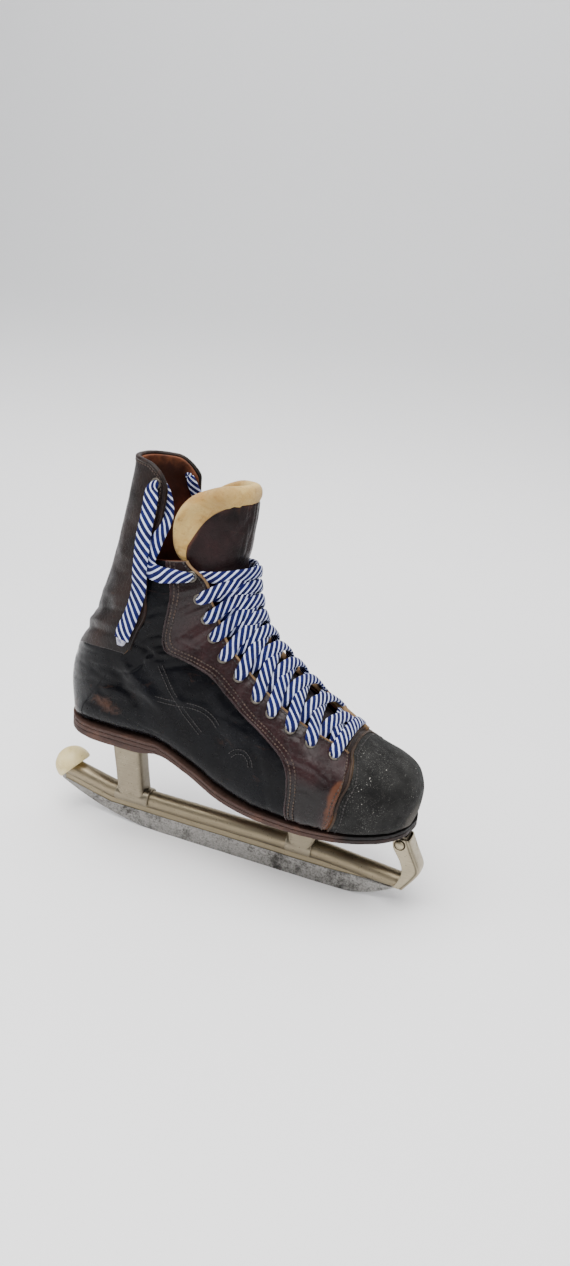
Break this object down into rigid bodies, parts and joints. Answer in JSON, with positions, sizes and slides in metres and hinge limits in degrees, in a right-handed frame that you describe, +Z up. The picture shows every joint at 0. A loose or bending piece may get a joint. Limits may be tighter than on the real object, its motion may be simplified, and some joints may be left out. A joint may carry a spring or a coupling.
{
  "type": "ice hockey skate",
  "caption": "Vintage ice hockey skate for the right foot: laced leather boot with a tall tendon guard and felt tongue, riveted on a steel tube runner with a plastic heel tip.",
  "frame": {"origin": "on the ice under the middle of the runner, in the runner's plane", "axes": "+X towards the toe, +Y towards the wearer's left (inner side), +Z up"},
  "size_m": [0.3, 0.0901, 0.29],
  "materials": {
    "runner_steel": "worn hardened steel with patches of grey plating left",
    "tube_plating": "dull warm plating, scratched and spotted",
    "post_plating": "dull warm plating",
    "plate_steel": "dull plated sheet steel",
    "rivet_steel": "dull steel rivet heads",
    "tip_plastic": "aged cream plastic",
    "sole_leather": "brown sole leather with a worn edge",
    "board_leather": "plain leather board",
    "black_leather": "black grained leather, scuffed",
    "toe_leather": "matte black rough leather, speckled with wear",
    "brown_leather": "dark brown leather with cracks and tan raw edges",
    "guard_leather": "dark brown-grey leather, creased",
    "lining_leather": "red-brown lining leather",
    "tongue_leather": "dark brown cracked leather",
    "felt": "cream wool felt",
    "eyelet_metal": "grey metal eyelets",
    "lace_cotton": "white flat lace with navy diagonal stripes",
    "lace_tip": "pressed frayed lace end"
  },
  "bodies": {
    "skate": {"runner": "runner_steel", "runner_tube": "tube_plating", "heel_tip": "tip_plastic", "heel_post": "post_plating", "sole_post": "post_plating", "heel_plate": "plate_steel", "sole_plate": "plate_steel", "toe_plate": "plate_steel", "toe_brace": "post_plating", "toe_brace_rivet": "rivet_steel", "heel_rivets": "rivet_steel", "sole_rivets": "rivet_steel", "toe_rivets": "rivet_steel", "heel_lift": "sole_leather", "outsole": "sole_leather", "midsole": "sole_leather", "insole": "board_leather", "toe_cap": "toe_leather", "toe_box": "board_leather", "vamp": "brown_leather", "facing_right": "brown_leather", "facing_left": "brown_leather", "quarter_right": "black_leather", "quarter_left": "black_leather", "heel_counter": "black_leather", "counter_stiffener": "board_leather", "lower_guard": "guard_leather", "lower_guard_pad": "lining_leather", "lining_right": "lining_leather", "lining_left": "lining_leather", "tongue_cover": "tongue_leather", "tongue_felt": "felt", "eyelets_right": "eyelet_metal", "eyelets_left": "eyelet_metal", "lace_right": "lace_cotton", "lace_left": "lace_cotton", "lace_run_right": "lace_cotton", "lace_run_left": "lace_cotton"},
    "tendon_guard": {"tendon_guard": "guard_leather", "guard_lining": "lining_leather", "guard_eyelets": "eyelet_metal", "lace_end_right": "lace_cotton", "lace_end_left": "lace_cotton", "lace_tips": "lace_tip"},
    "tongue_top": {"tongue_top_cover": "tongue_leather", "tongue_top_felt": "felt"}
  },
  "joints": [
    {"name": "guard_bend", "type": "hinge", "parent": "skate", "child": "tendon_guard", "pos_m": [-0.09995, 0, 0.22039], "axis": [0, 1, 0], "range_deg": [-15, 1], "stiffness_Nm_per_rad": 3, "deforming": ["lace_run_right", "lace_run_left"]},
    {"name": "tongue_fold", "type": "hinge", "parent": "skate", "child": "tongue_top", "pos_m": [0.0002, 0, 0.2375], "axis": [0, 1, 0], "range_deg": [0, 75]}
  ]
}
